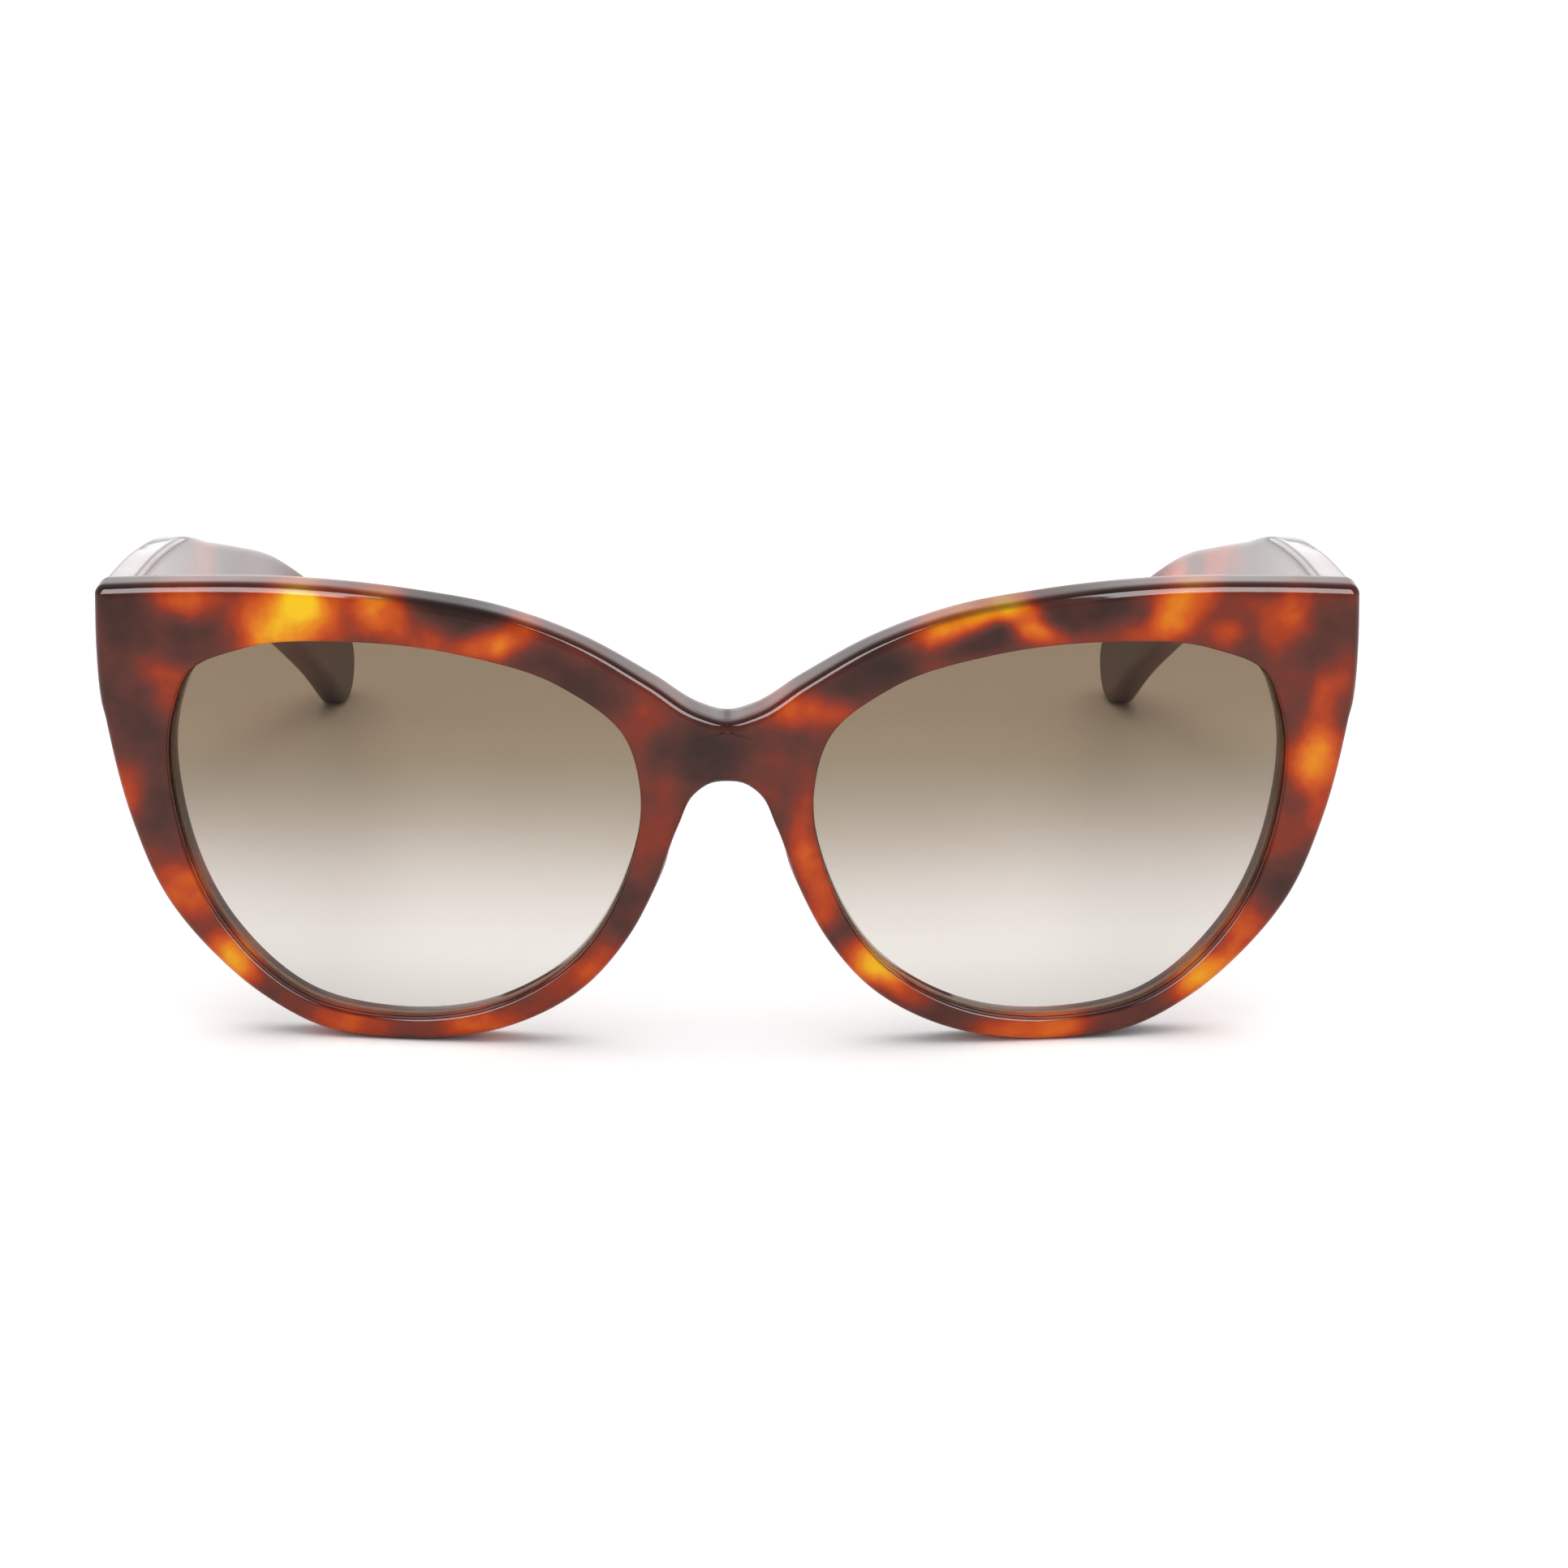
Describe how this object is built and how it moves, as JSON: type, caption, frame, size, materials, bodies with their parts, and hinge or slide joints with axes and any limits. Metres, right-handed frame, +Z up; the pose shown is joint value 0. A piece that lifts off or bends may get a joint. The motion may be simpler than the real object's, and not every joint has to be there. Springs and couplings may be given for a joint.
{
  "type": "cat eye sunglasses",
  "caption": "Folding cat eye sunglasses: a thick upswept acetate front with gradient-tinted lenses and temples on sunk hinges.",
  "frame": {"origin": "centre of the open glasses' footprint, on the surface they stand on", "axes": "+Z up, the wearer looks along -Y, +X is the wearer's left"},
  "size_m": [0.1406, 0.1452, 0.0527],
  "materials": {
    "tortoise_acetate": "polished tortoiseshell acetate, dark brown with amber and orange clouds",
    "pad_acetate": "tumbled tortoiseshell acetate",
    "gradient_lens": "polished transparent lens, brown tint that fades towards the bottom",
    "hinge_steel": "satin nickel silver",
    "screw_steel": "turned steel",
    "core_wire_steel": "drawn nickel silver"
  },
  "bodies": {
    "front": {"front_frame": "tortoise_acetate", "lens_left": "gradient_lens", "lens_right": "gradient_lens", "nose_pad_left": "pad_acetate", "nose_pad_right": "pad_acetate", "front_hinge_leaf_left": "hinge_steel", "front_hinge_leaf_right": "hinge_steel", "hinge_screw_left": "screw_steel", "hinge_screw_right": "screw_steel"},
    "temple_left_arm": {"temple_left": "tortoise_acetate", "temple_hinge_leaf_left": "hinge_steel", "core_wire_left": "core_wire_steel"},
    "temple_right_arm": {"temple_right": "tortoise_acetate", "temple_hinge_leaf_right": "hinge_steel", "core_wire_right": "core_wire_steel"}
  },
  "joints": [
    {"name": "fold_left", "type": "hinge", "parent": "front", "child": "temple_left_arm", "pos_m": [0.064, -0.05672, 0.0446], "axis": [0, 0, 1], "range_deg": [0, 87]},
    {"name": "fold_right", "type": "hinge", "parent": "front", "child": "temple_right_arm", "pos_m": [-0.064, -0.05672, 0.0446], "axis": [0, 0, -1], "range_deg": [0, 81]}
  ]
}
